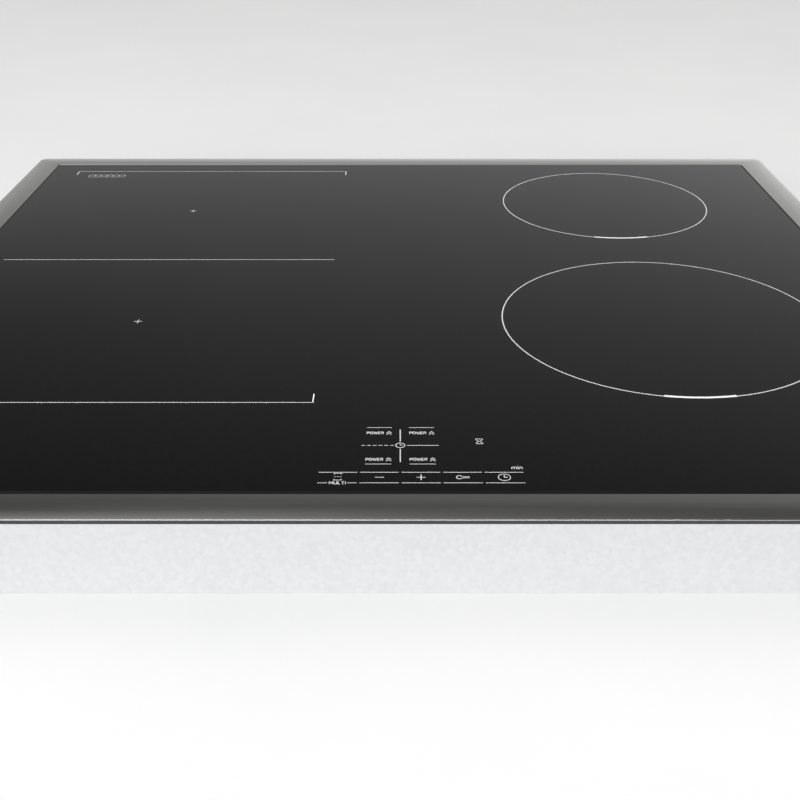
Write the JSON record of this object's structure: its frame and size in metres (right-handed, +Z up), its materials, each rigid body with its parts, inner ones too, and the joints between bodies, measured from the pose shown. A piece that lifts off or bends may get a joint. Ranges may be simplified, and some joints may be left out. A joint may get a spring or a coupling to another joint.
{
  "type": "induction cooktop",
  "caption": "Framed electric induction cooktop: black glass plate in a flat steel trim over a sheet-metal tray with sprung coils, fans and touch controls.",
  "frame": {"origin": "centre of the underside of the sheet-metal tray, which is also the bottom centre of the whole object", "axes": "+X to the right along the control edge, +Y from the user towards the wall, +Z up through the glass"},
  "size_m": [0.583, 0.513, 0.051],
  "materials": {
    "glass_ceramic": "polished black glass ceramic",
    "trim_steel": "brushed along the strip",
    "galvanised_sheet": "galvanised",
    "spring_steel": "bare spring strip",
    "deck_aluminium": "mill finish",
    "silicone": "cured silicone",
    "foam_seal": "closed-cell foam",
    "black_plastic": "moulded",
    "grey_plastic": "moulded",
    "copper_litz": "enamelled stranded copper",
    "mica_sheet": "pressed mica",
    "circuit_board": "solder resist",
    "white_ceramic": "unglazed",
    "printed_mark": "fired ceramic print"
  },
  "bodies": {
    "hob_body": {"glass_plate": "glass_ceramic", "trim_frame": "trim_steel", "glass_bond": "silicone", "worktop_seal": "foam_seal", "base_tray": "galvanised_sheet", "coil_deck_left": "deck_aluminium", "coil_deck_right": "deck_aluminium", "module_base_left": "black_plastic", "power_board_left": "circuit_board", "heatsink_left": "deck_aluminium", "fan_housing_left": "black_plastic", "fan_motor_left": "copper_litz", "bus_capacitor_left": "white_ceramic", "module_base_right": "black_plastic", "power_board_right": "circuit_board", "heatsink_right": "deck_aluminium", "fan_housing_right": "black_plastic", "fan_motor_right": "copper_litz", "bus_capacitor_right": "white_ceramic", "terminal_box": "black_plastic", "terminal_cover": "black_plastic", "terminal_block": "white_ceramic", "cable_gland": "black_plastic", "filter_board": "circuit_board", "filter_choke": "copper_litz", "filter_capacitor": "grey_plastic", "control_carrier": "black_plastic", "touch_board": "circuit_board", "touch_foil": "foam_seal", "control_ribbon": "grey_plastic"},
    "clip_front_left": {"side_clip_front_left": "spring_steel"},
    "clip_rear_left": {"side_clip_rear_left": "spring_steel"},
    "clip_front_right": {"side_clip_front_right": "spring_steel"},
    "clip_rear_right": {"side_clip_rear_right": "spring_steel"},
    "coil_front_left": {"coil_carrier_front_left": "grey_plastic", "coil_winding_front_left": "copper_litz", "coil_insulation_front_left": "mica_sheet", "coil_sensor_front_left": "white_ceramic"},
    "coil_rear_left": {"coil_carrier_rear_left": "grey_plastic", "coil_winding_rear_left": "copper_litz", "coil_insulation_rear_left": "mica_sheet", "coil_sensor_rear_left": "white_ceramic"},
    "coil_front_right": {"coil_carrier_front_right": "grey_plastic", "coil_winding_front_right": "copper_litz", "coil_insulation_front_right": "mica_sheet", "coil_sensor_front_right": "white_ceramic"},
    "coil_rear_right": {"coil_carrier_rear_right": "grey_plastic", "coil_winding_rear_right": "copper_litz", "coil_insulation_rear_right": "mica_sheet", "coil_sensor_rear_right": "white_ceramic"},
    "fan_left": {"fan_rotor_left": "black_plastic"},
    "fan_right": {"fan_rotor_right": "black_plastic"}
  },
  "joints": [
    {"name": "fan_left_spin", "type": "hinge", "parent": "hob_body", "child": "fan_left", "pos_m": [-0.092, 0.172, 0.012], "axis": [0, 0, 1], "continuous": true},
    {"name": "fan_right_spin", "type": "hinge", "parent": "hob_body", "child": "fan_right", "pos_m": [0.092, 0.172, 0.012], "axis": [0, 0, 1], "continuous": true},
    {"name": "coil_front_left_spring", "type": "slide", "parent": "hob_body", "child": "coil_front_left", "axis": [0, 0, 1], "range_m": [-0.003, 0], "stiffness_N_per_m": 4000, "springref_m": 0.004},
    {"name": "coil_rear_left_spring", "type": "slide", "parent": "hob_body", "child": "coil_rear_left", "axis": [0, 0, 1], "range_m": [-0.003, 0], "stiffness_N_per_m": 4000, "springref_m": 0.004},
    {"name": "coil_front_right_spring", "type": "slide", "parent": "hob_body", "child": "coil_front_right", "axis": [0, 0, 1], "range_m": [-0.003, 0], "stiffness_N_per_m": 3000, "springref_m": 0.004},
    {"name": "coil_rear_right_spring", "type": "slide", "parent": "hob_body", "child": "coil_rear_right", "axis": [0, 0, 1], "range_m": [-0.003, 0], "stiffness_N_per_m": 3000, "springref_m": 0.004},
    {"name": "clip_front_left_flex", "type": "hinge", "parent": "hob_body", "child": "clip_front_left", "pos_m": [-0.2761, -0.15, 0.041], "axis": [0, -1, 0], "range_deg": [0, 5], "stiffness_Nm_per_rad": 4.4},
    {"name": "clip_rear_left_flex", "type": "hinge", "parent": "hob_body", "child": "clip_rear_left", "pos_m": [-0.2761, 0.15, 0.041], "axis": [0, -1, 0], "range_deg": [0, 5], "stiffness_Nm_per_rad": 4.4},
    {"name": "clip_front_right_flex", "type": "hinge", "parent": "hob_body", "child": "clip_front_right", "pos_m": [0.2761, -0.15, 0.041], "axis": [0, 1, 0], "range_deg": [0, 5], "stiffness_Nm_per_rad": 4.4},
    {"name": "clip_rear_right_flex", "type": "hinge", "parent": "hob_body", "child": "clip_rear_right", "pos_m": [0.2761, 0.15, 0.041], "axis": [0, 1, 0], "range_deg": [0, 5], "stiffness_Nm_per_rad": 4.4}
  ]
}
